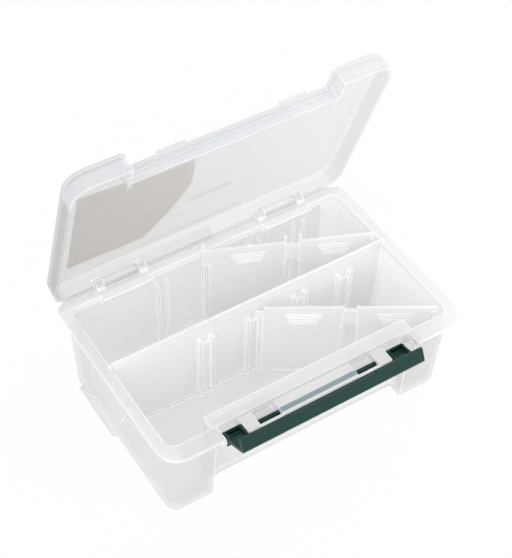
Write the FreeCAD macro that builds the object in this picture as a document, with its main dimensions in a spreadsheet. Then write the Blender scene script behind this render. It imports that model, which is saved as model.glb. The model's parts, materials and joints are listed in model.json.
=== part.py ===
import FreeCAD, Part
import math
import os
import Sketcher

# Hinged clear fly box: a tray with one long fixed divider, two loose diagonal
# partitions, a hinged lid with a bare label, and one green front latch.
# Millimetres, +Z up, the tray's flat base on Z = 0, the latch side at -Y.
# Each moving piece is modelled closed and turned to its open rest position.

doc = FreeCAD.newDocument("fly_box")
sheet = doc.addObject("Spreadsheet::Sheet", "sizes")

SIZES = [
    # rim of the tray
    ("rim_half_width", 102.5), ("rim_half_depth", 69.7), ("rim_corner", 14.0),
    ("rim_top", 64.3), ("rim_thickness", 3.3), ("rim_taper", 1.2), ("rim_round", 0.7),
    ("rim_width_side", 7.1), ("rim_width_end", 11.0),
    # outer wall of the tray, and the wall at the floor
    ("foot_inset_side", 7.0), ("foot_inset_front", 10.7), ("foot_inset_rear", 8.9), ("base_corner", 7.0),
    ("base_round", 1.6), ("wall_draft_side", 2.7), ("wall_draft_rear", 1.4), ("wall_thickness", 2.0),
    ("floor_thickness", 2.2), ("foot_wall_side", 2.3), ("foot_wall_front", 2.2), ("foot_wall_rear", 3.4),
    ("floor_round", 1.0), ("mouth_corner", 6.2),
    # set-back middle of the front wall
    ("recess_half_width", 67.5), ("recess_depth", 10.5), ("recess_draft", 3.2), ("recess_taper", 1.0),
    ("recess_inner_corner", 0.8), ("recess_corner", 2.0), ("ledge_inset", 2.0), ("ledge_width", 11.2),
    # fixed divider and partition guides
    ("divider_front", 6.6), ("divider_foot", 2.6), ("divider_crest", 1.4), ("divider_rise", 2.2),
    ("divider_corner", 0.2), ("guide_pitch", 33.2), ("guide_width", 10.8), ("guide_slot", 6.0), ("guide_depth", 2.2),
    ("guide_drop", 10.3), ("guide_back", 0.9), ("guide_back_drop", 4.6), ("rear_guide_width", 9.2), ("rear_guide_slot", 5.4),
    # side bosses, which lean to the rear at their foot
    ("boss_rear", 22.0), ("boss_front", 20.5), ("boss_proud", 2.2), ("boss_lean", 27.5), ("boss_toe", 29.0),
    ("boss_toe_height", 21.0),
    # hinge
    ("hinge_inset", 3.2), ("hinge_rise", 1.2), ("hinge_centre", 57.0), ("hinge_span", 34.0), ("ear_width", 5.0),
    ("ear_radius", 3.4), ("knuckle_radius", 3.0), ("pin_radius", 1.5), ("running_gap", 0.08), ("side_gap", 0.4),
    ("hinge_block_reach", 4.2), ("hinge_block_depth", 8.0), ("rear_step_width", 6.1), ("rear_step_drop", 1.7),
    # lid
    ("lid_margin_side", 0.5), ("lid_margin_end", 1.2), ("lid_corner_gap", 1.0), ("lid_height", 12.4),
    ("lid_gap", 0.0), ("lid_wall", 1.5), ("lid_draft", 0.5), ("lid_round", 1.3),
    ("lid_recess_gap", 1.5), ("lid_ledge_inset", 14.0), ("lid_ledge_width", 4.5), ("lid_ledge_z", 7.7),
    ("lid_open_angle", 71.0), ("nib_length", 18.0), ("nib_height", 1.8), ("nib_width", 2.4),
    ("nib_left", -33.5), ("nib_right", 44.5), ("gusset_left", -45.0), ("gusset_right", 51.6),
    ("gusset_thickness", 1.2), ("gusset_reach", 4.5),
    # latch
    ("rod_inset", 7.7), ("rod_drop", 11.3), ("rod_radius", 1.7), ("latch_margin", 5.9), ("latch_clearance", 0.4),
    ("latch_offset", 0.6), ("latch_plate", 1.8), ("latch_lip", 9.4), ("latch_lip_thickness", 2.0),
    ("latch_foot", 7.5), ("arm_width", 11.3), ("arm_radius", 4.2), ("arm_wall", 1.4), ("latch_open_angle", 63.2),
    ("lip_bevel", 1.4), ("lip_rib", 4.6), ("lip_rib_inset", 4.5),
    ("lip_relief", 1.0), ("lip_relief_half", 29.0),
    # rod trough on the tray
    ("trough_gap", 0.8), ("trough_rail", 1.5), ("trough_reach", 4.8), ("trough_low", 4.5), ("trough_rise", 3.0),
    ("knuckle_rise", 4.0), ("centre_knuckle", 52.0), ("end_knuckle", 8.5), ("snap_slot", 2.6),
    ("stop_boss_radius", 3.0), ("stop_boss_gap", 0.5),
    # loose partitions
    ("partition_taper", 3.0), ("partition_lift", 0.8), ("front_partition_drop", 2.3), ("partition_thickness", 1.4),
    ("partition_gap", 7.6), ("bridge_drop", 2.4), ("bridge_height", 12.0), ("bridge_extra", 0.8),
    ("tongue_length", 5.0), ("tongue_inset", 3.3), ("tongue_rise", 0.6), ("front_tongue_drop", 3.4),
    ("rear_tongue_drop", 0.1), ("leg_width", 4.8), ("leg_thickness", 1.6), ("leg_drop", 17.0),
    ("end_web_width", 3.0), ("end_web_drop", 3.0), ("foot_width", 3.8), ("foot_thickness", 1.1), ("foot_start", 9.3),
    ("hook_width", 1.6), ("rear_hook_height", 5.2), ("front_hook_height", 0.6), ("rib_count", 4.0),
    ("rib_pitch", 2.5), ("rib_length", 22.0), ("rib_proud", 0.5), ("rib_first", 5.8), ("rib_fall", 1.2),
    ("rib_thickness", 0.9), ("rear_partition_x", -5.0), ("rear_start_gap", 1.7), ("rear_end_gap", 1.2),
    ("rear_end_lift", 6.1), ("front_partition_x", 0.5), ("front_start_gap", 2.0), ("front_end_gap", 2.0),
    ("front_end_lift", 7.5),
    # label
    ("label_margin", 13.0), ("label_front", 33.0), ("label_rear", 52.0), ("label_top_right", 14.0),
    ("label_slope", 9.0), ("label_belly", 11.5), ("label_low_right", 37.0), ("label_belly_y", 4.0),
    ("label_thickness", 0.35),
]
# Sizes that follow from the ones above: each piece is set out from what it sits in or on.
FOLLOWING = {
    "base_half_width": "rim_half_width - foot_inset_side",
    "base_front": "rim_half_depth - foot_inset_front",
    "base_rear": "rim_half_depth - foot_inset_rear",
    "floor_half_width": "base_half_width - foot_wall_side",
    "floor_front": "base_front - foot_wall_front",
    "floor_rear": "base_rear - foot_wall_rear",
    "mouth_half_width": "rim_half_width - rim_width_side",
    "mouth_end": "rim_half_depth - rim_width_end",
    "ledge_half_width": "recess_half_width - ledge_inset",
    "ledge_reach": "rim_half_depth - ledge_width",
    "divider_top": "rim_top + divider_rise",
    "guide_top": "rim_top - guide_drop",
    "hinge_y": "rim_half_depth - hinge_inset",
    "hinge_z": "rim_top + hinge_rise",
    "rear_step_y": "rim_half_depth - rear_step_width",
    "lid_half_width": "rim_half_width - lid_margin_side",
    "lid_half_depth": "rim_half_depth - lid_margin_end",
    "lid_corner": "rim_corner - lid_corner_gap",
    "lid_recess_half": "recess_half_width - lid_recess_gap",
    "lid_ledge_front": "lid_half_depth - lid_ledge_inset",
    "lid_ledge_back": "lid_ledge_front - lid_ledge_width",
    "rod_y": "rod_inset - rim_half_depth",
    "rod_z": "rim_top - rod_drop",
    "latch_half_length": "recess_half_width - latch_margin",
    "latch_height": "rod_drop + lid_gap + lid_ledge_z + latch_clearance + latch_lip_thickness",
    "trough_half_length": "latch_half_length - arm_width - trough_gap",
    "partition_bottom": "floor_thickness + partition_lift",
    "rear_partition_top": "divider_top",
    "front_partition_top": "rim_top - front_partition_drop",
    "rear_partition_y": "mouth_end - rear_start_gap",
    "front_partition_y": "divider_front - front_start_gap",
    "rear_partition_run": "mouth_half_width - rear_end_gap - rear_partition_x",
    "rear_partition_fall": "rear_partition_y - divider_front - divider_foot - rear_end_lift",
    "front_partition_run": "mouth_half_width - front_end_gap - front_partition_x",
    "front_partition_fall": "front_partition_y + mouth_end - front_end_lift",
    "rear_partition_length": "sqrt(rear_partition_run ^ 2 + rear_partition_fall ^ 2)",
    "front_partition_length": "sqrt(front_partition_run ^ 2 + front_partition_fall ^ 2)",
    "label_left": "lid_half_width - label_margin",
}
for row, (alias, value) in enumerate(SIZES, 1):
    sheet.set("A%d" % row, alias)
    sheet.set("B%d" % row, str(value))
    sheet.setAlias("B%d" % row, alias)
doc.recompute()

ORIGIN = FreeCAD.Vector(0, 0, 0)
UP = FreeCAD.Vector(0, 0, 1)
ALONG = FreeCAD.Vector(1, 0, 0)


def full(expression):
    """Spell out each size name in an expression as a cell of the sheet."""
    names = [alias for alias, _ in SIZES] + list(FOLLOWING)
    words = sorted(names, key=len, reverse=True)
    out, place = "", 0
    while place < len(expression):
        fresh = place == 0 or not (expression[place - 1].isalnum() or expression[place - 1] == "_")
        for word in words:
            end = place + len(word)
            after = expression[end:end + 1]
            if fresh and expression.startswith(word, place) and not (after.isalnum() or after == "_"):
                out += "(%s)" % full(FOLLOWING[word]) if word in FOLLOWING else "sizes." + word
                place = end
                break
        else:
            out += expression[place]
            place += 1
    return out


def bind(obj, **properties):
    """Bind properties to sheet expressions; double underscores stand for dots."""
    for name, expression in properties.items():
        obj.setExpression(name.replace("__", "."), full(expression))
    return obj


def block(name, x0, x1, y0, y1, z0, z1):
    """A box between six bound planes."""
    box = doc.addObject("Part::Box", name)
    return bind(box, Length="(%s) - (%s)" % (x1, x0), Width="(%s) - (%s)" % (y1, y0),
                Height="(%s) - (%s)" % (z1, z0), Placement__Base__x=x0, Placement__Base__y=y0,
                Placement__Base__z=z0)


def rod(name, x0, x1, y, z, radius):
    """A cylinder along X."""
    pin = doc.addObject("Part::Cylinder", name)
    pin.Placement = FreeCAD.Placement(ORIGIN, FreeCAD.Rotation(FreeCAD.Vector(0, 1, 0), 90))
    return bind(pin, Radius=radius, Height="(%s) - (%s)" % (x1, x0), Placement__Base__x=x0,
                Placement__Base__y=y, Placement__Base__z=z)


def fuse(name, shapes):
    """Join several solids."""
    joined = doc.addObject("Part::MultiFuse", name)
    joined.Shapes = shapes
    return joined


def cut(name, base, tools):
    """Take one or more solids away from a base."""
    tool = tools[0] if len(tools) == 1 else fuse(name + "_tools", tools)
    result = doc.addObject("Part::Cut", name)
    result.Base, result.Tool = base, tool
    return result


def mirrored(name, source):
    """The same solid on the other side of the middle plane."""
    twin = doc.addObject("Part::Mirroring", name)
    twin.Source, twin.Normal, twin.Base = source, ALONG, ORIGIN
    return twin


def outline(name, z, left, right, front, rear, corner):
    """A rounded rectangle sketch at height z between four bound lines."""
    sketch = doc.addObject("Sketcher::SketchObject", name)
    sketch.Placement = FreeCAD.Placement(ORIGIN, FreeCAD.Rotation())
    bind(sketch, Placement__Base__z=z)
    evaluate = sketch.evalExpression
    a, b = -evaluate(full(left)), evaluate(full(right))
    c, d, r = -evaluate(full(front)), evaluate(full(rear)), evaluate(full(corner))
    vector = FreeCAD.Vector
    lines = [((a + r, c), (b - r, c)), ((b, c + r), (b, d - r)), ((b - r, d), (a + r, d)), ((a, d - r), (a, c + r))]
    centres = [(b - r, c + r, -1), (b - r, d - r, 0), (a + r, d - r, 1), (a + r, c + r, 2)]
    quarter = math.pi / 2
    for start, end in lines:
        sketch.addGeometry(Part.LineSegment(vector(*start, 0), vector(*end, 0)), False)
    for x, y, turn in centres:
        circle = Part.Circle(vector(x, y, 0), UP, r)
        sketch.addGeometry(Part.ArcOfCircle(circle, turn * quarter, (turn + 1) * quarter), False)
    for index in range(4):
        sketch.addConstraint(Sketcher.Constraint("Tangent", index, 2, 4 + index, 1))
        sketch.addConstraint(Sketcher.Constraint("Tangent", 4 + index, 2, (index + 1) % 4, 1))
    for index in (0, 2):
        sketch.addConstraint(Sketcher.Constraint("Horizontal", index))
    for index in (1, 3):
        sketch.addConstraint(Sketcher.Constraint("Vertical", index))
    for index in (5, 6, 7):
        sketch.addConstraint(Sketcher.Constraint("Equal", 4, index))
    driven = [("Radius", (4, r), corner), ("DistanceX", (3, 1, -1, 1, -a), left), ("DistanceX", (-1, 1, 1, 1, b), right),
              ("DistanceY", (0, 1, -1, 1, -c), front), ("DistanceY", (-1, 1, 2, 1, d), rear)]
    for kind, arguments, expression in driven:
        number = sketch.addConstraint(Sketcher.Constraint(kind, *arguments))
        sketch.setExpression("Constraints[%d]" % number, full(expression))
    return sketch


def inset(section, height, amount):
    """The same outline at another height, drawn in by an amount all round."""
    return (height,) + tuple("(%s) - (%s)" % (side, amount) for side in section[1:])


def moulded(name, *sections):
    """A drafted body through outlines at rising heights.

    Each outline is (height, left, right, front, rear, corner) in expressions.
    """
    loft = doc.addObject("Part::Loft", name)
    loft.Sections = [outline("%s_line_%d" % (name, number), *section) for number, section in enumerate(sections)]
    loft.Solid, loft.Ruled = True, True
    return loft


def prism(name, points, thickness, plane, offset):
    """A straight-sided solid from bound corner points, raised square to its plane.

    The points are pairs of expressions in the plane's own two directions, and
    the offset moves the sketch along the plane's normal.
    """
    sketch = doc.addObject("Sketcher::SketchObject", name + "_profile")
    turns = {
        "XZ": FreeCAD.Rotation(ALONG, 90),
        "YZ": FreeCAD.Rotation(FreeCAD.Vector(1, 1, 1), 120),
        "XY": FreeCAD.Rotation(),
    }
    sketch.Placement = FreeCAD.Placement(ORIGIN, turns[plane])
    axis = {"XZ": "y", "YZ": "x", "XY": "z"}[plane]
    sketch.setExpression("Placement.Base.%s" % axis, full(offset))
    values = [(sketch.evalExpression(full(u)), sketch.evalExpression(full(v))) for u, v in points]
    count = len(values)
    for index in range(count):
        start, end = values[index], values[(index + 1) % count]
        sketch.addGeometry(Part.LineSegment(FreeCAD.Vector(*start, 0), FreeCAD.Vector(*end, 0)), False)
    for index in range(count):
        sketch.addConstraint(Sketcher.Constraint("Coincident", index, 2, (index + 1) % count, 1))
    for index, (pair, value) in enumerate(zip(points, values)):
        for kind, expression, amount in zip(("DistanceX", "DistanceY"), pair, value):
            number = sketch.addConstraint(Sketcher.Constraint(kind, -1, 1, index, 1, amount))
            sketch.setExpression("Constraints[%d]" % number, full(expression))
    solid = doc.addObject("Part::Extrusion", name)
    solid.Base, solid.DirMode, solid.Solid = sketch, "Normal", True
    return bind(solid, LengthFwd=thickness)


# Tray shell: drafted wall, rim and hollow.
RIM_LOW = "rim_top - rim_thickness"
WALL_X = "base_half_width + wall_draft_side"
WALL_F = "base_front + wall_draft_side"
WALL_R = "base_rear + wall_draft_rear"
RIM_CORNER = "rim_corner - rim_taper"
BASE = ("base_round", "base_half_width", "base_half_width", "base_front", "base_rear", "base_corner")
wall = moulded("tray_wall", inset(BASE, "0", "base_round"), BASE,
               (RIM_LOW, WALL_X, WALL_X, WALL_F, WALL_R, "base_corner + wall_draft_side"))
RIM_X, RIM_Y = "rim_half_width - rim_taper", "rim_half_depth - rim_taper"
RIM = ("rim_top - rim_round", "rim_half_width", "rim_half_width", "rim_half_depth", "rim_half_depth", "rim_corner")
rim = moulded("tray_rim", (RIM_LOW, RIM_X, RIM_X, RIM_Y, RIM_Y, RIM_CORNER), RIM, inset(RIM, "rim_top", "rim_round"))
FLOOR = ("floor_thickness + floor_round", "floor_half_width", "floor_half_width", "floor_front", "floor_rear",
         "mouth_corner")
cavity = moulded("tray_cavity", inset(FLOOR, "floor_thickness", "floor_round"), FLOOR,
                 ("rim_top + 1", "mouth_half_width", "mouth_half_width", "mouth_end", "mouth_end", "mouth_corner"))
hollow = cut("tray_hollow", fuse("tray_blank", [wall, rim]), [cavity])

# The front recess wall, the divider and the guides stand inside the hollow.
RECESS_X = "recess_half_width"
RECESS_Y = "(base_front - recess_depth)"
FILL_X = RECESS_X + " + wall_thickness"
front_fill = moulded("recess_fill",
                     ("0", FILL_X, FILL_X, "base_front - wall_thickness / 2", "-" + RECESS_Y + " + wall_thickness",
                      "recess_inner_corner"),
                     ("rim_top", FILL_X + " - recess_taper", FILL_X + " - recess_taper", WALL_F + " - wall_thickness / 2",
                      "-" + RECESS_Y + " - recess_draft + wall_thickness", "recess_inner_corner"))
DIVIDER_LEAN = "(divider_foot - divider_crest) / 2"
divider = moulded("divider",
                  ("floor_thickness / 2", "floor_half_width + 1", "floor_half_width + 1", "-divider_front",
                   "divider_front + divider_foot", "divider_corner"),
                  ("divider_top", "mouth_half_width + 1", "mouth_half_width + 1", "-divider_front - " + DIVIDER_LEAN,
                   "divider_front + divider_foot - " + DIVIDER_LEAN, "divider_corner"))


def guide_row(name, y0, y1, first, count, width, slot):
    """Slotted guides along one wall: a jaw on each side of every slot."""
    jaws = []
    for number in range(count):
        centre = "guide_pitch * %d" % (first + number)
        for side, near, far in (("left", "-%s / 2" % width, "-%s / 2" % slot), ("right", "%s / 2" % slot, "%s / 2" % width)):
            jaws.append(block("%s_%d_%s" % (name, number, side), "%s + %s" % (centre, near), "%s + %s" % (centre, far),
                              y0, y1, "floor_thickness / 2", "guide_top"))
    return jaws


DIVIDER_BACK = "divider_front + divider_foot"
guides = guide_row("rear_guide", "floor_rear - guide_depth + 0.4", "base_rear - 0.4", -1, 4, "rear_guide_width",
                   "rear_guide_slot")
guides += guide_row("divider_rear_guide", DIVIDER_BACK + " - 0.9", DIVIDER_BACK + " + guide_depth - 0.4", -1, 4,
                    "guide_width", "guide_slot")
guides += guide_row("divider_front_guide", "divider_front - guide_depth", "divider_front + 0.9", -1, 4, "guide_width",
                    "guide_slot")
guides += [block("guide_back_%d" % number, "guide_pitch * %d - guide_width / 2" % number,
                 "guide_pitch * %d + guide_width / 2" % number, "divider_front - guide_back",
                 DIVIDER_BACK + " + guide_back - 0.4", "floor_thickness / 2", "guide_top - guide_back_drop")
           for number in range(-1, 3)]
guides += guide_row("front_guide", "-" + RECESS_Y + " - 1", "-" + RECESS_Y + " + wall_thickness + guide_depth - 0.8", -1, 3,
                    "guide_width", "guide_slot")

# Blocks that carry the hinge ears on the rear rim.
HINGE_IN, HINGE_OUT = "hinge_centre - hinge_span / 2", "hinge_centre + hinge_span / 2"
BLOCK_Y = "mouth_end - hinge_block_reach"
hinge_block = prism("hinge_block", [(WALL_R + " + 0.5", RIM_LOW), (WALL_R + " + 0.5", "rim_top"), (BLOCK_Y, "rim_top"),
                                    (BLOCK_Y, "rim_top - 2"), ("mouth_end", "rim_top - hinge_block_depth"),
                                    ("mouth_end + 1.2", "rim_top - hinge_block_depth")],
                    "hinge_span", "YZ", HINGE_IN)
inside = fuse("tray_inside", [hollow, front_fill, divider, hinge_block, mirrored("hinge_block_left", hinge_block)] + guides)

RECESS_OUT = "rim_half_depth + 12"
recess_low = moulded("recess_cut",
                     ("-1", RECESS_X, RECESS_X, RECESS_OUT, "-" + RECESS_Y, "recess_corner"),
                     (RIM_LOW, RECESS_X + " - recess_taper", RECESS_X + " - recess_taper", RECESS_OUT,
                      "-" + RECESS_Y + " - recess_draft", "recess_corner"))
recess_rim = block("recess_rim_cut", "-ledge_half_width", "ledge_half_width", "-rim_half_depth - 5", "-ledge_reach",
                   RIM_LOW + " - 0.5", "rim_top + 1")
rear_step = block("rear_step", "-rim_half_width - 1", "rim_half_width + 1", "rear_step_y", "rim_half_depth + 1",
                  "rim_top - rear_step_drop", "rim_top + 1")
knuckle_room = block("knuckle_room", HINGE_IN + " + ear_width", HINGE_OUT + " - ear_width", "hinge_y - ear_radius - 0.5",
                     "rim_half_depth + 1", "hinge_z - ear_radius - 0.3", "rim_top + 1")
carved = cut("tray_carved", inside, [recess_low, recess_rim, rear_step, knuckle_room,
                                     mirrored("knuckle_room_left", knuckle_room)])

# Hinge ears.
def ear(name, inner, outer):
    """A rounded lug that holds one end of a hinge pin."""
    lug = block(name + "_foot", inner, outer, "rear_step_y - 1.4", "hinge_y + ear_radius", RIM_LOW, "hinge_z")
    return fuse(name, [lug, rod(name + "_eye", inner, outer, "hinge_y", "hinge_z", "ear_radius")])


ears = [ear("ear_inner", HINGE_IN, HINGE_IN + " + ear_width"), ear("ear_outer", HINGE_OUT + " - ear_width", HINGE_OUT)]
ears += [mirrored("ear_inner_left", ears[0]), mirrored("ear_outer_left", ears[1])]

# Side bosses, flush with the rim, leaning to the rear at the foot.
BOSS_TOP = RIM_LOW + " + 1"
boss = prism("side_boss", [("-boss_front + boss_lean", "0"), ("boss_rear + boss_toe", "0"),
                           ("boss_rear + boss_toe / 2", "boss_toe_height / 2"), ("boss_rear + 3", "boss_toe_height"),
                           ("boss_rear", "boss_toe_height * 2"), ("boss_rear", BOSS_TOP), ("-boss_front", BOSS_TOP),
                           ("-boss_front + boss_lean / 8", "rim_top * 0.75"), ("-boss_front + boss_lean / 2", "rim_top * 0.45")],
             "boss_proud + wall_draft_side + 1.6", "YZ", "base_half_width - 1.6")
BOSS_FAR = "base_half_width + boss_proud + 20"
boss_trim = prism("boss_trim", [("base_half_width + boss_proud", "-1"), (BOSS_FAR, "-1"), (BOSS_FAR, "rim_top"),
                                ("rim_half_width - 0.2", "rim_top")], "base_front + base_rear", "XZ", "base_rear")
KEEP_X = "- wall_thickness / 2"
boss_keep = moulded("boss_keep", ("-1", "base_half_width" + KEEP_X, "base_half_width" + KEEP_X, "base_front", "base_rear", "1"),
                    (RIM_LOW + " + 2", WALL_X + KEEP_X, WALL_X + KEEP_X, "base_front", "base_rear", "1"))
side_boss = cut("boss_finished", boss, [boss_trim, boss_keep])

# Trough with the knuckles that hold the latch rod.
TROUGH_BACK = "-" + RECESS_Y + " - recess_draft + 1.2"
TROUGH_FRONT = "rod_y - trough_reach"
LOW = "rod_z - trough_low"
trough = fuse("rod_trough", [
    block("trough_floor", "-trough_half_length", "trough_half_length", TROUGH_FRONT, TROUGH_BACK, LOW, LOW + " + trough_rail"),
    block("trough_front", "-trough_half_length", "trough_half_length", TROUGH_FRONT, TROUGH_FRONT + " + trough_rail", LOW,
          "rod_z + trough_rise"),
    block("centre_knuckle_block", "-centre_knuckle / 2", "centre_knuckle / 2", TROUGH_FRONT, TROUGH_BACK, LOW,
          "rod_z + knuckle_rise"),
    block("end_knuckle_right", "trough_half_length - end_knuckle", "trough_half_length", TROUGH_FRONT, TROUGH_BACK, LOW,
          "rod_z + knuckle_rise"),
    block("end_knuckle_left", "-trough_half_length", "-trough_half_length + end_knuckle", TROUGH_FRONT, TROUGH_BACK, LOW,
          "rod_z + knuckle_rise"),
])
stop_boss = rod("stop_boss", "latch_half_length + stop_boss_gap", RECESS_X + " + 0.5", "rod_y", "rod_z", "stop_boss_radius")
latch_bore = rod("latch_bore", "-trough_half_length - 1", "trough_half_length + 1", "rod_y", "rod_z",
                 "rod_radius + running_gap")
snap_way = block("snap_way", "-trough_half_length - 1", "trough_half_length + 1", "rod_y - snap_slot / 2",
                 "rod_y + snap_slot / 2", LOW + " - 1", "rod_z")
hinge_bore = rod("hinge_bore", HINGE_IN + " - 1", HINGE_OUT + " + 1", "hinge_y", "hinge_z", "pin_radius + running_gap")
trough_bored = cut("trough_bored", trough, [latch_bore, snap_way])
ears_bored = cut("ears_bored", fuse("ears", ears), [hinge_bore, mirrored("hinge_bore_left", hinge_bore)])
tray = fuse("tray", [carved, ears_bored, side_boss, mirrored("boss_left", side_boss), trough_bored, stop_boss,
                     mirrored("stop_boss_left", stop_boss)])

# Lid, modelled closed.
LID_Z = "rim_top + lid_gap"
LID_TOP = "rim_top + lid_gap + lid_height"
LID_X, LID_Y = "lid_half_width - lid_draft", "lid_half_depth - lid_draft"
LID_CROWN = (LID_TOP + " - lid_round", LID_X, LID_X, LID_Y, LID_Y, "lid_corner - lid_draft")
lid_outer = moulded("lid_outer",
                    (LID_Z, "lid_half_width", "lid_half_width", "lid_half_depth", "lid_half_depth", "lid_corner"),
                    LID_CROWN, inset(LID_CROWN, LID_TOP, "lid_round"))
INNER_CROWN = inset(LID_CROWN, LID_TOP + " - lid_wall - lid_round", "lid_wall")
lid_inner = moulded("lid_inner",
                    (LID_Z + " - 1", "lid_half_width - lid_wall", "lid_half_width - lid_wall",
                     "lid_half_depth - lid_wall", "lid_half_depth - lid_wall", "lid_corner - lid_wall"),
                    INNER_CROWN, inset(INNER_CROWN, LID_TOP + " - lid_wall", "lid_round"))
lid_shell = cut("lid_shell", lid_outer, [lid_inner])
lid_fill = block("lid_fill", "-lid_recess_half - lid_wall", "lid_recess_half + lid_wall", "-lid_half_depth + 0.9",
                 "-lid_ledge_back + lid_wall", LID_Z, LID_TOP + " - 0.5")
under_ledge = block("under_ledge", "-lid_recess_half + 0.6", "lid_recess_half - 0.6", "-lid_ledge_front + lid_wall",
                    "-lid_ledge_back + lid_wall + 1", LID_Z + " - 1", LID_Z + " + lid_ledge_z - lid_wall")
low_recess = block("lid_low_recess", "-lid_recess_half", "lid_recess_half", "-lid_half_depth - 1", "-lid_ledge_front",
                   LID_Z + " - 1", LID_Z + " + lid_ledge_z + 0.1")
high_recess = block("lid_high_recess", "-lid_recess_half", "lid_recess_half", "-lid_half_depth - 1", "-lid_ledge_back",
                    LID_Z + " + lid_ledge_z", LID_TOP + " + 1")
skirt_notch = block("skirt_notch", HINGE_IN + " - 0.5", HINGE_OUT + " + 0.5", "lid_half_depth - lid_wall - 0.6",
                    "lid_half_depth + 1", LID_Z + " - 1", "hinge_z + ear_radius + 1.6")
lid_cut = cut("lid_cut", fuse("lid_filled", [lid_shell, lid_fill]),
              [under_ledge, low_recess, high_recess, skirt_notch, mirrored("skirt_notch_left", skirt_notch)])


def lid_knuckle(name):
    """The lid's solid knuckle with a pin end on each side and the web above it."""
    inner, outer = HINGE_IN + " + ear_width + side_gap", HINGE_OUT + " - ear_width - side_gap"
    return fuse(name, [
        rod(name + "_barrel", inner, outer, "hinge_y", "hinge_z", "knuckle_radius"),
        rod(name + "_pin", HINGE_IN + " + 0.5", HINGE_OUT + " - 0.5", "hinge_y", "hinge_z", "pin_radius"),
        block(name + "_web", inner, outer, "hinge_y - 1.2", "lid_half_depth - lid_draft", "hinge_z", LID_TOP + " - 0.8"),
    ])


knuckle = lid_knuckle("lid_knuckle_right")
nibs = [block("nib_" + side, centre + " - nib_length / 2", centre + " + nib_length / 2", "-lid_ledge_back",
              "-lid_ledge_back + nib_width", LID_TOP + " - 1", LID_TOP + " + nib_height")
        for side, centre in (("left", "nib_left"), ("right", "nib_right"))]
LEDGE_LOW = LID_Z + " + lid_ledge_z - lid_wall"
gussets = [prism("gusset_" + side, [("-lid_ledge_front + lid_wall - 0.3", LID_Z + " + 0.4"),
                                    ("-lid_ledge_front + lid_wall - 0.3", LEDGE_LOW + " + 0.3"),
                                    ("-lid_ledge_back + lid_wall - 0.3", LEDGE_LOW + " + 0.3"),
                                    ("-lid_ledge_back + lid_wall - 0.3", LID_TOP + " - lid_wall + 0.3"),
                                    ("-lid_ledge_back + lid_wall + gusset_reach", LID_TOP + " - lid_wall + 0.3")],
                 "gusset_thickness", "YZ", "gusset_" + side) for side in ("left", "right")]
lid = fuse("lid", [lid_cut, knuckle, mirrored("lid_knuckle_left", knuckle)] + gussets + nibs)

# Label on the outside of the lid.
label = prism("lid_label_film", [("-label_left", "-label_front"), ("-label_top_right", "-label_front + label_slope"),
                                 ("-label_belly", "label_belly_y"), ("-label_belly - 4", "label_belly_y + 12"),
                                 ("-label_belly - 11", "label_belly_y + 28"), ("-label_low_right", "label_rear + 2"),
                                 ("-label_left + 1", "label_rear")], "label_thickness", "XY", LID_TOP)

# Latch, modelled closed.
AX = "rod_y"
AZ = "rod_z"
PLATE_Y = AX + " - latch_offset"
PLATE_IN, LATCH_TOP = PLATE_Y + " + latch_plate", AZ + " + latch_height"
LIP_LOW = LATCH_TOP + " - latch_lip_thickness"
blade = prism("latch_blade", [(PLATE_Y, AZ + " + latch_foot"), (PLATE_Y, LATCH_TOP + " - lip_bevel"),
                              (PLATE_Y + " + lip_bevel / 3", LATCH_TOP + " - lip_bevel / 3"), (PLATE_Y + " + lip_bevel", LATCH_TOP),
                              (PLATE_Y + " + latch_lip - 0.5", LATCH_TOP), (PLATE_Y + " + latch_lip", LATCH_TOP + " - 0.5"),
                              (PLATE_Y + " + latch_lip", LIP_LOW), (PLATE_IN + " + 1", LIP_LOW), (PLATE_IN, LIP_LOW + " - 1"),
                              (PLATE_IN, AZ + " + latch_foot")], "latch_half_length * 2", "YZ", "-latch_half_length")
lip_rib = prism("lip_rib", [(PLATE_IN + " - 0.2", LIP_LOW + " + 0.2"), (PLATE_IN + " + lip_rib", LIP_LOW + " + 0.2"),
                            (PLATE_IN + " - 0.2", LIP_LOW + " - lip_rib")], "arm_wall", "YZ", "latch_half_length - lip_rib_inset")
lip_relief = block("lip_relief_cut", "-lip_relief_half", "lip_relief_half", PLATE_Y + " + latch_lip - lip_relief",
                   PLATE_Y + " + latch_lip + 1", LIP_LOW + " - 1", LATCH_TOP + " + 1")
latch_rod = rod("latch_rod", "-latch_half_length + arm_wall / 2", "latch_half_length - arm_wall / 2", AX, AZ, "rod_radius")
ARM_IN = "latch_half_length - arm_width"


def cheek(name, x0, x1):
    """A round end web with a neck up to the plate."""
    neck = prism(name + "_neck", [(PLATE_Y, AZ), (AX + " + arm_radius * 0.8", AZ + " + arm_radius * 0.5"),
                                  (PLATE_Y + " + latch_plate", AZ + " + latch_foot + 5"), (PLATE_Y, AZ + " + latch_foot + 5")],
                 "(%s) - (%s)" % (x1, x0), "YZ", x0)
    return [rod(name + "_disc", x0, x1, AX, AZ, "arm_radius"), neck]


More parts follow.
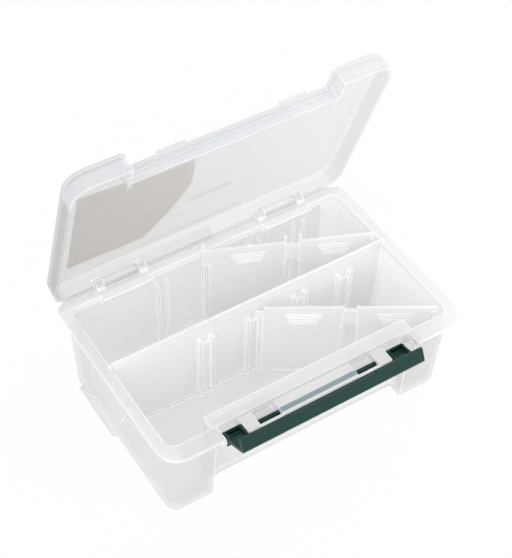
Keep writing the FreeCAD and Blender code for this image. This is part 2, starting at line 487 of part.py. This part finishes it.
arm_shell = cut("arm_shell", rod("arm_skin", ARM_IN, "latch_half_length", AX, AZ, "arm_radius"),
                [rod("arm_bore", ARM_IN + " - 1", "latch_half_length + 1", AX, AZ, "arm_radius - arm_wall"),
                 block("arm_mouth", ARM_IN + " - 1", "latch_half_length + 1", AX + " - latch_offset + latch_plate",
                       AX + " + arm_radius + 1", AZ, AZ + " + arm_radius + 1")])
arm_plate = block("arm_plate", ARM_IN, "latch_half_length", PLATE_Y, PLATE_Y + " + latch_plate", AZ,
                  AZ + " + latch_foot + 1")
arm = fuse("latch_arm", [arm_shell, arm_plate] + cheek("cheek_inner", ARM_IN, ARM_IN + " + arm_wall")
           + cheek("cheek_outer", "latch_half_length - arm_wall", "latch_half_length"))
latch = fuse("latch", [cut("blade_relieved", blade, [lip_relief]), lip_rib, mirrored("lip_rib_left", lip_rib), latch_rod, arm, mirrored("latch_arm_left", arm)])


def upright(name, x0, x1, thickness, z0, z1):
    """A plate on the partition's middle plane."""
    return block(name, x0, x1, "-(%s) / 2" % thickness, "(%s) / 2" % thickness, z0, z1)


def partition(row, foot_gap="partition_bottom"):
    """One loose partition, drawn along +X from its left end and then turned in plan.

    Two panels are joined by a bridge with a window under it. Each panel has a
    foot, an upright web at both ends, a small hook at the top and four ribs.
    """
    name, length, top = "partition_%s_row" % row, row + "_partition_length", row + "_partition_top"
    hook, low = row + "_hook_height", foot_gap
    start, gap = "tongue_length", "partition_gap"
    half = "(%s - tongue_length - %s) / 2" % (length, gap)
    left_end, right_start = "%s + %s" % (start, half), "%s + %s + %s" % (start, half, gap)
    foot_end = length + " - partition_taper"
    solids = [
        prism(name + "_left_panel", [("tongue_inset", low), (left_end, low), (left_end, top), (start, top),
                                     (start, "%s - %s_tongue_drop" % (top, row)), ("0", "%s - %s_tongue_drop" % (top, row)),
                                     ("0", "guide_top + tongue_rise"), ("tongue_inset", "guide_top + tongue_rise")],
              "partition_thickness", "XZ", "partition_thickness / 2"),
        prism(name + "_right_panel", [(right_start, low), (foot_end, low), (length, top), (right_start, top)],
              "partition_thickness", "XZ", "partition_thickness / 2"),
        upright(name + "_left_web", "tongue_inset", "tongue_inset + leg_thickness", "end_web_width", low, "guide_top - 1"),
        prism(name + "_right_web", [(foot_end + " - leg_thickness", low), (foot_end, low), (length, top + " - end_web_drop"),
                                    (length + " - leg_thickness", top + " - end_web_drop")], "end_web_width", "XZ",
              "end_web_width / 2"),
        upright(name + "_bridge", left_end + " - 0.5", right_start + " + 0.5", "partition_thickness + bridge_extra",
                top + " - bridge_drop - bridge_height", top + " - bridge_drop"),
        upright(name + "_left_foot", "foot_start", left_end, "foot_width", low, low + " + foot_thickness"),
        upright(name + "_right_foot", right_start, foot_end, "foot_width", low, low + " + foot_thickness"),
    ]
    for side, edge, sense in (("left", left_end, "-"), ("right", right_start, "+")):
        near, far = sorted((edge, "%s %s leg_thickness" % (edge, sense)), key=len, reverse=sense == "-")
        solids.append(upright("%s_%s_leg" % (name, side), near, far, "leg_width", low, top + " - leg_drop"))
        near, far = sorted((edge, "%s %s hook_width" % (edge, sense)), key=len, reverse=sense == "-")
        solids.append(upright("%s_%s_hook" % (name, side), near, far, "partition_thickness", top + " - 1",
                              "%s + %s" % (top, hook)))
    solids.append(upright(name + "_tip", start if row == "front" else "0", start + " + hook_width" if row == "front" else "hook_width",
                          "partition_thickness", top + " - 1", "%s + %s * 0.8" % (top, hook)))
    for side, middle in (("left", "%s + %s / 2" % (start, half)), ("right", "%s + %s / 2" % (right_start, half))):
        for rib in range(int(sheet.rib_count)):
            reach, height = "(rib_length / 2 - rib_fall * %d)" % rib, "%s - rib_first - rib_pitch * %d" % (top, rib)
            solids.append(upright("%s_%s_rib_%d" % (name, side, rib), "%s - %s" % (middle, reach), "%s + %s" % (middle, reach),
                                  "partition_thickness + rib_proud * 2", height + " - rib_thickness", height))
    whole = fuse(name, solids)
    whole.Placement = FreeCAD.Placement(ORIGIN, FreeCAD.Rotation(UP, 0))
    return bind(whole, Placement__Base__x=row + "_partition_x", Placement__Base__y=row + "_partition_y",
                Placement__Rotation__Angle="-atan(%s_partition_fall / %s_partition_run)" % (row, row))


rear_partition = partition("rear")
front_partition = partition("front")
doc.recompute()


def turn_open(obj, angle, y, z, sense):
    """Turn a piece about an X axis through (y, z), bound to the sheet."""
    obj.Placement = FreeCAD.Placement(ORIGIN, FreeCAD.Rotation(ALONG, 1))
    turn = "%s(%s)" % (sense, angle)
    return bind(obj, Placement__Rotation__Angle=turn,
                Placement__Base__y="(%s) - (%s) * cos(%s) + (%s) * sin(%s)" % (y, y, turn, z, turn),
                Placement__Base__z="(%s) - (%s) * sin(%s) - (%s) * cos(%s)" % (z, y, turn, z, turn))


turned = [(lid, "lid_open_angle * 1 deg", "hinge_y", "hinge_z", "-"),
          (latch, "latch_open_angle * 1 deg", "rod_y", "rod_z", "")]
for piece, angle, y, z, sense in turned:
    turn_open(piece, angle, y, z, sense)
label_piece = doc.addObject("Part::Compound", "lid_label_piece")
label_piece.Links = [label]
turn_open(label_piece, "lid_open_angle * 1 deg", "hinge_y", "hinge_z", "-")
doc.recompute()

os.makedirs("parts", exist_ok=True)
NODES = {"tray": tray, "lid": lid, "latch": latch, "partition_rear_row": rear_partition,
         "partition_front_row": front_partition, "lid_label": label_piece}
for obj in doc.Objects:
    if "Invalid" in obj.State or "Error" in obj.State:
        raise RuntimeError("feature not solved: " + obj.Name)
for node, obj in NODES.items():
    shape = obj.Shape
    if shape.isNull() or not shape.isValid() or len(shape.Solids) != 1:
        raise RuntimeError("piece is not one sound solid: %s (%d)" % (node, len(shape.Solids)))
    obj.Label = node
    shape.exportStep("parts/%s.step" % node)
    box = shape.BoundBox
    print(node, round(shape.Volume), [round(v, 1) for v in (box.XMin, box.XMax, box.YMin, box.YMax, box.ZMin, box.ZMax)])
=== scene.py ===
"""Clear frosted fly box with a green front latch, dressed for a studio photograph."""

import json
import logging
import math
from dataclasses import dataclass, field
from enum import Enum

import bmesh
import bpy
from mathutils import Matrix, Vector

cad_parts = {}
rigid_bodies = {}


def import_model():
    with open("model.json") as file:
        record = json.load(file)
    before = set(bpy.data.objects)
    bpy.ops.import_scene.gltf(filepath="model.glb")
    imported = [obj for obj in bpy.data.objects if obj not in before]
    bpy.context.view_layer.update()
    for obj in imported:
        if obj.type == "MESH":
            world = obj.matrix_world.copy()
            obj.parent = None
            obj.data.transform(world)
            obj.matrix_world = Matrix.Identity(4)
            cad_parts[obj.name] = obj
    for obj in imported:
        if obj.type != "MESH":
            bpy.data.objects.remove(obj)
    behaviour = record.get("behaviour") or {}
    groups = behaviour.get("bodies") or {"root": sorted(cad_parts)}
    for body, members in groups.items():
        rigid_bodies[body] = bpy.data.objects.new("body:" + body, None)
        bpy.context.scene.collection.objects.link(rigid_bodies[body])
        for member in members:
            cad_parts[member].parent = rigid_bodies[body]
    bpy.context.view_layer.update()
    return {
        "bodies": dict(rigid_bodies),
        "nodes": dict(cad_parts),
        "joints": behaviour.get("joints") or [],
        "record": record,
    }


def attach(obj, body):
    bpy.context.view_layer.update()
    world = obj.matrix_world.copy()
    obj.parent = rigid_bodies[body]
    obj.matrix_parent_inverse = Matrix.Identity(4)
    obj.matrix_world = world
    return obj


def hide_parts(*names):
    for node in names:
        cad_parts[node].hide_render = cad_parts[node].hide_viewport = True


LOG = logging.getLogger("fly_box")
IMAGE_WIDTH, IMAGE_HEIGHT = 512, 558
Colour = tuple[float, float, float, float]


class Piece(str, Enum):
    """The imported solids, by node name."""

    TRAY = "tray"
    LID = "lid"
    LATCH = "latch"
    REAR_PARTITION = "partition_rear_row"
    FRONT_PARTITION = "partition_front_row"
    LABEL = "lid_label"


class Socket:
    """A number on a node's output, with the operators that add Math nodes."""

    def __init__(self, nodes: "NodeBench", output: object) -> None:
        """Keeps the bench that adds nodes and the wrapped output."""
        self.nodes = nodes
        self.output = output

    def _math(self, operation: str, first: object, second: object, clamp: bool = False) -> "Socket":
        """Adds one Math node.

        Args:
            operation: the node's operation.
            first: its first value or link.
            second: its second value or link.
            clamp: whether the result stays between 0 and 1.
        Returns:
            The node's result.
        """
        return self.nodes.add("ShaderNodeMath", {"operation": operation, "use_clamp": clamp}, {0: first, 1: second})

    def __add__(self, other: object) -> "Socket":
        """Sum."""
        return self._math("ADD", self, other)

    __radd__ = __add__

    def __mul__(self, other: object) -> "Socket":
        """Product."""
        return self._math("MULTIPLY", self, other)

    __rmul__ = __mul__

    def __sub__(self, other: object) -> "Socket":
        """Difference."""
        return self._math("SUBTRACT", self, other)

    def __rsub__(self, other: object) -> "Socket":
        """Difference the other way round."""
        return self._math("SUBTRACT", other, self)

    def power(self, exponent: float) -> "Socket":
        """This number to a power."""
        return self._math("POWER", self, exponent)

    def clamp(self) -> "Socket":
        """This number kept between 0 and 1."""
        return self._math("ADD", self, 0.0, True)


class NodeBench:
    """One material's or the world's node tree, with a single way to add nodes."""

    def __init__(self, name: str, world: bool = False) -> None:
        """Makes an empty material or world.

        Args:
            name: its name.
            world: whether it is a world.
        """
        self.material = (bpy.data.worlds if world else bpy.data.materials).new(name)
        self.material.use_nodes = True
        self.tree = self.material.node_tree
        self.tree.nodes.clear()

    def seen(self) -> Socket:
        """1 for rays from the camera, a mirror or glass, and 0 for the light on the object."""
        rays = [self.add("ShaderNodeLightPath", output=name) for name in
                ("Is Camera Ray", "Is Glossy Ray", "Is Transmission Ray")]
        return (rays[0] + rays[1] + rays[2]).clamp()

    def add(self, kind: str, settings: dict | None = None, inputs: dict | None = None, output: int | str = 0) -> Socket:
        """Adds a node.

        Args:
            kind: the node's type.
            settings: its properties, and the stops of a colour ramp under the key stops.
            inputs: values or links by input name or number.
            output: the output that is wrapped.
        Returns:
            The wrapped output.
        """
        node = self.tree.nodes.new(kind)
        for key, value in (settings or {}).items():
            if key == "stops":
                ramp = node.color_ramp
                while len(ramp.elements) < len(value):
                    ramp.elements.new(1.0)
                for element, (place, colour) in zip(ramp.elements, value):
                    element.position, element.color = place, colour
            else:
                setattr(node, key, value)
        for key, value in (inputs or {}).items():
            if isinstance(value, Socket):
                self.tree.links.new(value.output, node.inputs[key])
            else:
                node.inputs[key].default_value = value
        return Socket(self, node.outputs[output] if node.outputs else None)

    def place(self) -> Socket:
        """The surface point in the piece's own frame, in metres."""
        return self.add("ShaderNodeTexCoord", output="Object")

    def noise(self, scale: float, detail: float = 3.0, roughness: float = 0.55) -> Socket:
        """Soft noise over the piece.

        Args:
            scale: how many cells to a metre.
            detail: octaves.
            roughness: how strong the finer octaves are.
        Returns:
            A number around 0.5.
        """
        return self.add("ShaderNodeTexNoise", {}, {"Vector": self.place(), "Scale": scale, "Detail": detail,
                                                   "Roughness": roughness})

    def mix(self, factor: object, first: object, second: object) -> Socket:
        """A colour between two colours."""
        return self.add("ShaderNodeMix", {"data_type": "RGBA"}, {0: factor, 6: first, 7: second}, 2)

    def edge(self, reach: float) -> Socket:
        """How near a surface point is to a moulded edge.

        Args:
            reach: how far the edge reaches, in metres.
        Returns:
            1 at the edge, falling to 0 at the reach.
        """
        soft = self.add("ShaderNodeBevel", {"samples": 4}, {"Radius": reach})
        flat = self.add("ShaderNodeNewGeometry", output="Normal")
        agree = self.add("ShaderNodeVectorMath", {"operation": "DOT_PRODUCT"}, {0: soft, 1: flat}, "Value")
        return ((1.0 - agree) * 3.4).clamp()

    def bump(self, height: Socket, strength: float, distance: float) -> Socket:
        """A bumped normal from a height."""
        return self.add("ShaderNodeBump", {}, {"Strength": strength, "Distance": distance, "Height": height})

    def finish(self, shader: Socket) -> bpy.types.Material:
        """Joins a shader to the output and gives the material."""
        self.add("ShaderNodeOutputMaterial", {}, {"Surface": shader})
        return self.material


@dataclass(frozen=True)
class Zone:
    """A box of the piece, in metres, with soft sides, whose shade is painted over the colour there: painted light where
    it is lighter, painted shade where it is darker.
    """

    low: tuple[float, float, float]
    high: tuple[float, float, float]
    shade: Colour
    blend: float = 0.002
    haze: float = 0.0

    def mask(self, bench: "NodeBench", place: Socket) -> Socket:
        """Works out where the zone is.

        Args:
            bench: the material's node bench.
            place: the surface point in the frame that the zone is given in.
        Returns:
            1 inside the box and 0 outside it, with a soft step between.
        """
        inside = None
        for axis, (low, high) in enumerate(zip(self.low, self.high)):
            along = bench.add("ShaderNodeSeparateXYZ", {}, {"Vector": place}, axis)
            rise = ((along - low) * (1.0 / self.blend)).clamp()
            fall = ((high - along) * (1.0 / self.blend)).clamp()
            inside = rise * fall if inside is None else inside * rise * fall
        return inside


@dataclass(frozen=True)
class FrostedPlastic:
    """Milky see-through moulded plastic with painted light and shade in its colour: edges painted white with emission
    as a painted highlight, a painted light ramp lighter towards the right, grazing faces painted darker grey, and boxes
    of painted light and shade over chosen regions.
    """

    name: str
    body: Colour = (0.86, 0.855, 0.85, 1.0)
    tint: Colour = (0.91, 0.905, 0.91, 1.0)
    # Colour at the right-hand end of a painted light ramp: painted light, lighter towards the right.
    painted_lit_side: Colour = (0.96, 0.965, 0.97, 1.0)
    clear: Colour = (0.985, 0.985, 0.985, 1.0)
    # Where the painted light ramp starts and ends across the piece, in metres: darker at the left, lighter at the
    # right.
    left: float = -0.02
    right: float = 0.10
    passing: float = 0.2
    haze: float = 0.42
    rim_haze: float = 0.35
    # Edges are made whiter by extra milk, white colour and emission: a painted highlight, though the plastic gives off
    # no light.
    edge_haze: float = 0.65
    edge_painted_light: float = 0.45
    edge_reach: float = 0.0009
    roughness: float = 0.38
    shine: float = 0.3
    grain: float = 0.00012
    # Boxes of painted light and painted shade laid over the colour.
    painted_zones: tuple[Zone, ...] = ()
    pivot: tuple[float, float, float] = (0.0, 0.0, 0.0)
    turn: float = 0.0

    def build(self) -> bpy.types.Material:
        """Returns:
            The finished material.
        """
        bench = NodeBench(self.name)
        cloud = bench.noise(38.0, 2.0)
        fine = bench.noise(900.0, 4.0)
        rough = (fine * 0.10 + cloud * 0.08 + (self.roughness - 0.09)).clamp()
        normal = bench.bump(fine + cloud * 2.0, 0.25, self.grain)
        slant = bench.add("ShaderNodeLayerWeight", {}, {"Blend": 0.35}, "Facing")
        # Grazing faces are painted darker grey below: a painted shade along the silhouettes.
        grazing_shade = slant.power(3.0)
        # Near edges the colour is painted white and given emission below. This is a painted highlight, weaker on
        # grazing faces.
        edge = bench.edge(self.edge_reach) * (1.0 - grazing_shade * 0.8)
        place = bench.add("ShaderNodeVectorRotate", {"rotation_type": "X_AXIS"}, {
            "Vector": bench.place(), "Center": self.pivot, "Angle": math.radians(self.turn)})
        # Painted light: the colour is ramped across the piece from the body tones at the left to the lighter colour at
        # the right, as if lit from the right.
        across = bench.add("ShaderNodeSeparateXYZ", {}, {"Vector": place}, 0)
        side = ((across - self.left) * (1.0 / (self.right - self.left))).clamp()
        colour = bench.mix(side, bench.mix(cloud, self.body, self.tint), self.painted_lit_side)
        amount = slant.power(1.6) * self.rim_haze + cloud * 0.02 + (self.haze - 0.01)
        # Each box paints its light and shade over the colour and adds its milk.
        for zone in self.painted_zones:
            mask = zone.mask(bench, place)
            colour = bench.mix(mask, colour, zone.shade)
            amount = amount + mask * zone.haze
        # Painted shade: grazing faces are mixed towards grey.
        colour = bench.mix(grazing_shade * 0.5, colour, (0.55, 0.55, 0.55, 1.0))
        # Painted highlight on edges: white colour and emission.
        colour = bench.mix(edge, colour, (0.99, 0.99, 0.99, 1.0))
        painted_edge_light = bench.mix(edge, (0.0, 0.0, 0.0, 1.0), (self.edge_painted_light,) * 3 + (1.0,))
        milk = bench.add("ShaderNodeBsdfPrincipled", {}, {
            "Base Color": colour, "Roughness": rough, "Normal": normal,
            "Emission Color": painted_edge_light, "Emission Strength": 1.0, "IOR": 1.49, "Specular IOR Level": self.shine})
        through = bench.add("ShaderNodeBsdfTranslucent", {}, {"Color": self.tint, "Normal": normal})
        body = bench.add("ShaderNodeMixShader", {}, {0: self.passing, 1: milk, 2: through})
        clear = bench.add("ShaderNodeBsdfTransparent", {}, {"Color": self.clear})
        front = 1.0 - bench.add("ShaderNodeNewGeometry", output="Backfacing")
        return bench.finish(bench.add("ShaderNodeMixShader", {}, {
            0: (amount * front + edge * self.edge_haze).clamp(), 1: clear, 2: body}))


@dataclass(frozen=True)
class GreenPlastic:
    """Opaque dark green moulded plastic with a satin skin."""

    name: str = "latch_green"
    deep: Colour = (0.0055, 0.035, 0.0295, 1.0)
    worn: Colour = (0.0085, 0.044, 0.037, 1.0)
    roughness: float = 0.36

    def build(self) -> bpy.types.Material:
        """Returns:
            The finished material.
        """
        bench = NodeBench(self.name)
        cloud = bench.noise(60.0, 3.0)
        fine = bench.noise(1500.0, 3.0)
        rough = (fine * 0.12 + cloud * 0.10 + (self.roughness - 0.11)).clamp()
        return bench.finish(bench.add("ShaderNodeBsdfPrincipled", {}, {
            "Base Color": bench.mix(cloud, self.deep, self.worn), "Roughness": rough,
            "Normal": bench.bump(fine, 0.2, 0.00005), "IOR": 1.5, "Specular IOR Level": 0.25}))


@dataclass(frozen=True)
class LabelFilm:
    """The bare printed film on the lid, seen mostly from its back through the frosted panel."""

    name: str = "label_film"
    ground: Colour = (0.50, 0.45, 0.38, 1.0)
    fleck: Colour = (0.63, 0.575, 0.495, 1.0)
    cover: float = 0.82

    def build(self) -> bpy.types.Material:
        """Returns:
            The finished material.
        """
        bench = NodeBench(self.name)
        cloud = bench.noise(230.0, 5.0, 0.65)
        fine = bench.noise(700.0, 2.0)
        ramp = bench.add("ShaderNodeValToRGB", {"stops": [(0.40, self.ground), (0.62, self.fleck)]}, {"Fac": cloud})
        normal = bench.bump(fine, 0.15, 0.00004)
        face = bench.add("ShaderNodeBsdfPrincipled", {}, {
            "Base Color": ramp, "Roughness": (fine * 0.15 + 0.58).clamp(), "Normal": normal, "Specular IOR Level": 0.2})
        back_lit = bench.add("ShaderNodeBsdfTranslucent", {}, {"Color": self.fleck, "Normal": normal})
        film = bench.add("ShaderNodeMixShader", {}, {0: 0.5, 1: face, 2: back_lit})
        clear = bench.add("ShaderNodeBsdfTransparent", {}, {"Color": (1.0, 1.0, 1.0, 1.0)})
        front = 1.0 - bench.add("ShaderNodeNewGeometry", output="Backfacing")
        return bench.finish(bench.add("ShaderNodeMixShader", {}, {
            0: (cloud * 0.1 + (self.cover - 0.05)) * front, 1: clear, 2: film}))


@dataclass
class Studio:
    """Pale sweep, soft lamps and the photograph's camera."""

    focal_px: float = 1382.35
    azimuth: float = -34.126
    elevation: float = 47.791
    roll: float = 2.082
    distance: float = 0.864018
    aim_px: tuple[float, float] = (0.552, 98.705)
    centre_px: tuple[float, float] = (2.231, 0.356)
    floor_size: float = 12.0
    layers: int = 48
    sky: float = 0.62

    def camera(self) -> None:
        """Sets the camera that matches the photograph."""
        a, e, r = (math.radians(v) for v in (self.azimuth, self.elevation, self.roll))
        back = Vector((math.sin(a) * math.cos(e), -math.cos(a) * math.cos(e), math.sin(e)))
        right = (-back).cross(Vector((0, 0, 1))).normalized()
        up = right.cross(-back)
        across = right * math.cos(r) + up * math.sin(r)
        upward = -right * math.sin(r) + up * math.cos(r)
        reach = self.distance / self.focal_px
        place = (back * self.distance - across * (self.aim_px[0] - self.centre_px[0]) * reach
                 + upward * (self.aim_px[1] - self.centre_px[1]) * reach)
        data = bpy.data.cameras.new("photo_camera")
        data.sensor_fit, data.sensor_width = "HORIZONTAL", 36.0
        data.lens = self.focal_px * data.sensor_width / IMAGE_WIDTH
        data.shift_x, data.shift_y = -self.centre_px[0] / IMAGE_WIDTH, self.centre_px[1] / IMAGE_WIDTH
        data.clip_start, data.clip_end = 0.05, 50.0
        eye = bpy.data.objects.new("photo_camera", data)
        turn = Matrix((across, upward, back)).transposed().to_4x4()
        eye.matrix_world = Matrix.Translation(place) @ turn
        bpy.context.scene.collection.objects.link(eye)
        bpy.context.scene.camera = eye

    def backdrop(self) -> None:
        """Makes the pale floor that shows white to the camera and keeps the soft shadow."""
        mesh = bpy.data.meshes.new("studio_floor")
        shape = bmesh.new()
        bmesh.ops.create_grid(shape, x_segments=1, y_segments=1, size=self.floor_size / 2)
        shape.to_mesh(mesh)
        shape.free()
        floor = bpy.data.objects.new("studio_floor", mesh)
        floor.location.z = -0.0002
        bpy.context.scene.collection.objects.link(floor)
        bench = NodeBench("studio_white")
        diffuse = bench.add("ShaderNodeBsdfDiffuse", {}, {"Color": (0.86, 0.86, 0.86, 1.0)})
        white = bench.add("ShaderNodeEmission", {}, {"Color": (1.0, 1.0, 1.0, 1.0), "Strength": 1.0})
        mixed = bench.add("ShaderNodeMixShader", {}, {0: bench.seen() * 0.95, 1: diffuse, 2: white})
        floor.data.materials.append(bench.finish(mixed))

    def lamps(self) -> None:
        """Adds the soft lamps and the pale world."""
        bench = NodeBench("studio_world", world=True)
        strength = bench.seen() * (1.0 - self.sky) + self.sky
        sky = bench.add("ShaderNodeBackground", {}, {"Color": (1.0, 1.0, 1.0, 1.0), "Strength": strength})
        bench.add("ShaderNodeOutputWorld", {}, {"Surface": sky})
        bpy.context.scene.world = bench.material
        for name, place, size, power in (("key", (1.2, 0.3, 1.5), 1.2, 8.0), ("fill", (-1.0, -1.1, 0.9), 1.4, 15.0),
                                         ("side", (1.0, -1.1, 0.8), 1.4, 6.0),
                                         ("back", (0.1, 1.4, 1.4), 1.2, 5.0)):
            data = bpy.data.lights.new(name, "AREA")
            data.energy, data.size = power, size
            lamp = bpy.data.objects.new(name, data)
            lamp.location = place
            lamp.rotation_euler = (Vector((0, 0, 0.07)) - Vector(place)).to_track_quat("-Z", "Y").to_euler()
            bpy.context.scene.collection.objects.link(lamp)

    def build(self) -> None:
        """Builds the whole studio."""
        self.camera()
        self.backdrop()
        self.lamps()
        scene = bpy.context.scene
        scene.view_settings.view_transform = "Standard"
        scene.cycles.transparent_max_bounces = self.layers
        scene.cycles.max_bounces = self.layers // 2
        scene.cycles.diffuse_bounces = self.layers // 4


# Painted light and shade on the tray, as boxes in its own frame.
TRAY_PAINTED_ZONES = (
    # Painted shade on the floor, deep inside the tray.
    Zone((-0.11, -0.08, -0.01), (0.11, 0.08, 0.0055), (0.66, 0.65, 0.655, 1.0), 0.003),
    # Painted shadow of the open lid on the inner rear wall.
    Zone((-0.098, 0.0568, -0.01), (0.085, 0.08, 0.0600), (0.67, 0.655, 0.66, 1.0), 0.001),
    # Painted shade on the upper rear wall.
    Zone((-0.098, 0.0540, 0.0400), (0.098, 0.08, 0.0600), (0.62, 0.61, 0.615, 1.0), 0.012),
    # Painted shade on the front wall.
    Zone((-0.11, -0.08, -0.01), (0.11, -0.052, 0.0600), (0.70, 0.695, 0.675, 1.0), 0.003),
    # Painted light on the inner right wall, with more milk.
    Zone((0.090, -0.055, 0.004), (0.11, 0.055, 0.0600), (0.99, 0.99, 0.99, 1.0), 0.003, 0.12),
    # Painted light on the rim, lighter than the walls at the left, with more milk.
    Zone((-0.11, -0.08, 0.0590), (0.11, 0.08, 0.08), (0.89, 0.89, 0.89, 1.0), 0.002, 0.08),
    # Painted shade on the rear rim.
    Zone((-0.11, 0.058, 0.0590), (0.11, 0.08, 0.08), (0.78, 0.78, 0.78, 1.0), 0.002),
    # Painted shade on the left front rim.
    Zone((-0.094, -0.08, 0.0590), (0.070, -0.0575, 0.08), (0.76, 0.76, 0.75, 1.0), 0.004),
    # Painted light on the divider and its guides, with more milk.
    Zone((-0.094, 0.0038, 0.004), (0.098, 0.0120, 0.08), (0.93, 0.93, 0.93, 1.0), 0.001, 0.20),
    # Painted light on the right part of the divider.
    Zone((0.030, 0.0038, 0.004), (0.098, 0.0120, 0.0600), (0.995, 0.995, 0.995, 1.0), 0.010),
    # Painted shade on the right rim.
    Zone((0.086, -0.060, 0.0590), (0.11, 0.060, 0.08), (0.84, 0.845, 0.85, 1.0), 0.002),
    # Painted shade on the upper left of the divider, which is lit more strongly than its foot.
    Zone((-0.094, 0.0055, 0.036), (0.020, 0.0105, 0.08), (0.78, 0.78, 0.78, 1.0), 0.012),
    # Painted light, near white, on the ledge and knuckles over the rod, with more milk so that less of the rod shows.
    Zone((-0.066, -0.0760, 0.0480), (0.066, -0.0530, 0.0640), (0.995, 0.995, 0.995, 1.0), 0.001, 0.42),
    # A painted slate-blue tint where the green rod shows through the centre knuckle, with less milk.
    Zone((-0.0265, -0.0655, 0.0555), (0.0265, -0.0615, 0.0590), (0.33, 0.48, 0.54, 1.0), 0.0006, -0.18),
)
# Painted shade on the upper part of the partitions, which are lit more strongly than at the foot.
SHEET_PAINTED_ZONES = (
    Zone((-0.11, -0.08, 0.0300), (0.11, 0.08, 0.0900), (0.86, 0.86, 0.86, 1.0), 0.030),
)
# The lid's painted light and shade are boxes in its closed frame, turned with the lid about this pivot.
LID_PIVOT = (0.0, 0.0665, 0.0655)
LID_PAINTED_ZONES = (
    # Bluish painted light on the front skirt.
    Zone((-0.11, -0.08, 0.060), (0.11, -0.050, 0.0735), (0.80, 0.83, 0.885, 1.0), 0.002),
    # Brighter bluish painted light on the right part of the front skirt.
    Zone((0.035, -0.08, 0.060), (0.11, -0.050, 0.0735), (0.90, 0.92, 0.96, 1.0), 0.004),
    # Painted shade on the rear skirt.
    Zone((-0.11, 0.050, 0.060), (0.11, 0.08, 0.0735), (0.74, 0.74, 0.745, 1.0), 0.002),
    # Deeper painted shade on the left part of the rear skirt.
    Zone((-0.11, 0.050, 0.060), (0.010, 0.08, 0.0735), (0.54, 0.54, 0.545, 1.0), 0.002),
    # Painted shade on the right skirt.
    Zone((0.0945, -0.058, 0.060), (0.11, 0.08, 0.0750), (0.64, 0.64, 0.645, 1.0), 0.003),
    # Painted shade on the left skirt, with more milk.
    Zone((-0.11, -0.053, 0.060), (-0.0935, 0.08, 0.0755), (0.50, 0.515, 0.515, 1.0), 0.003, 0.10),
    # Painted reflection: two darker bands across the panel where the tray's walls are mirrored.
    Zone((-0.014, 0.019, 0.070), (0.020, 0.028, 0.080), (0.50, 0.50, 0.50, 1.0), 0.004, 0.05),
    Zone((-0.042, 0.056, 0.070), (0.034, 0.063, 0.080), (0.50, 0.50, 0.50, 1.0), 0.004, 0.05),
)


@dataclass
class LidLabel:
    """The film label, lifted a hair off the lid so that light passes between the two."""

    frame: dict
    finish: LabelFilm = field(default_factory=LabelFilm)
    lift: float = 0.00005
    open_angle: float = 71.0

    def build(self) -> bpy.types.Object:
        """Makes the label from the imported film.

        Returns:
            The new piece, riding on the lid.
        """
        mesh = self.frame["nodes"][Piece.LABEL.value].data.copy()
        mesh.name = "label_sheet"
        outward = Vector((0.0, math.sin(math.radians(self.open_angle)), math.cos(math.radians(self.open_angle))))
        shape = bmesh.new()
        shape.from_mesh(mesh)
        bmesh.ops.remove_doubles(shape, verts=shape.verts, dist=0.000001)
        bmesh.ops.translate(shape, verts=shape.verts, vec=outward * self.lift)
        bmesh.ops.recalc_face_normals(shape, faces=shape.faces)
        shape.to_mesh(mesh)
        shape.free()
        mesh.materials.clear()
        mesh.materials.append(self.finish.build())
        sheet = bpy.data.objects.new("label_sheet", mesh)
        bpy.context.scene.collection.objects.link(sheet)
        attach(sheet, "lid")
        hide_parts(Piece.LABEL.value)
        return sheet


@dataclass
class FlyBox:
    """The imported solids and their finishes."""

    frame: dict
    finishes: dict[Piece, object] = field(default_factory=lambda: {
        # Each piece of the one frosted plastic takes its own base colour, lit and shaded copies: the tray's mid grey
        # ramps to lighter at the right as painted light.
        Piece.TRAY: FrostedPlastic("tray_frost", body=(0.81, 0.81, 0.785, 1.0), tint=(0.85, 0.84, 0.83, 1.0),
                                   haze=0.56, painted_zones=TRAY_PAINTED_ZONES),
        # The lid's base runs from dark grey at the left to a lighter grey at the right: painted shade over most of the
        # lid, with a painted light ramp across it.
        Piece.LID: FrostedPlastic("lid_frost", body=(0.51, 0.51, 0.51, 1.0), tint=(0.57, 0.57, 0.57, 1.0),
                                  painted_lit_side=(0.84, 0.84, 0.84, 1.0), left=-0.08, haze=0.44, shine=0.15, roughness=0.62, edge_reach=0.0006,
                                  painted_zones=LID_PAINTED_ZONES, pivot=LID_PIVOT, turn=71.0),
        # The partitions' near-white base is painted light, making them brighter than the tray's walls.
        Piece.REAR_PARTITION: FrostedPlastic("rear_partition_frost", body=(0.98, 0.975, 0.975, 1.0),
                                             tint=(0.99, 0.99, 0.99, 1.0), passing=0.06, haze=0.66, painted_zones=SHEET_PAINTED_ZONES, edge_reach=0.0004),
        Piece.FRONT_PARTITION: FrostedPlastic("front_partition_frost", body=(0.985, 0.985, 0.985, 1.0),
                                              tint=(0.995, 0.995, 0.995, 1.0), passing=0.06, haze=0.72,
                                              painted_zones=SHEET_PAINTED_ZONES, edge_reach=0.0004),
        Piece.LATCH: GreenPlastic(),
    })

    def dress(self) -> None:
        """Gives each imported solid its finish."""
        for piece, finish in self.finishes.items():
            node = self.frame["nodes"][piece.value]
            material = finish.build()
            for slot in node.material_slots:
                slot.material = material
            if not node.material_slots:
                node.data.materials.append(material)
            LOG.info("dressed %s with %s", piece.value, material.name)
        LidLabel(self.frame).build()


def main() -> None:
    """Builds the scene in order."""
    logging.basicConfig(level=logging.INFO)
    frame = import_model()
    Studio().build()
    FlyBox(frame).dress()


if __name__ == "__main__":
    main()
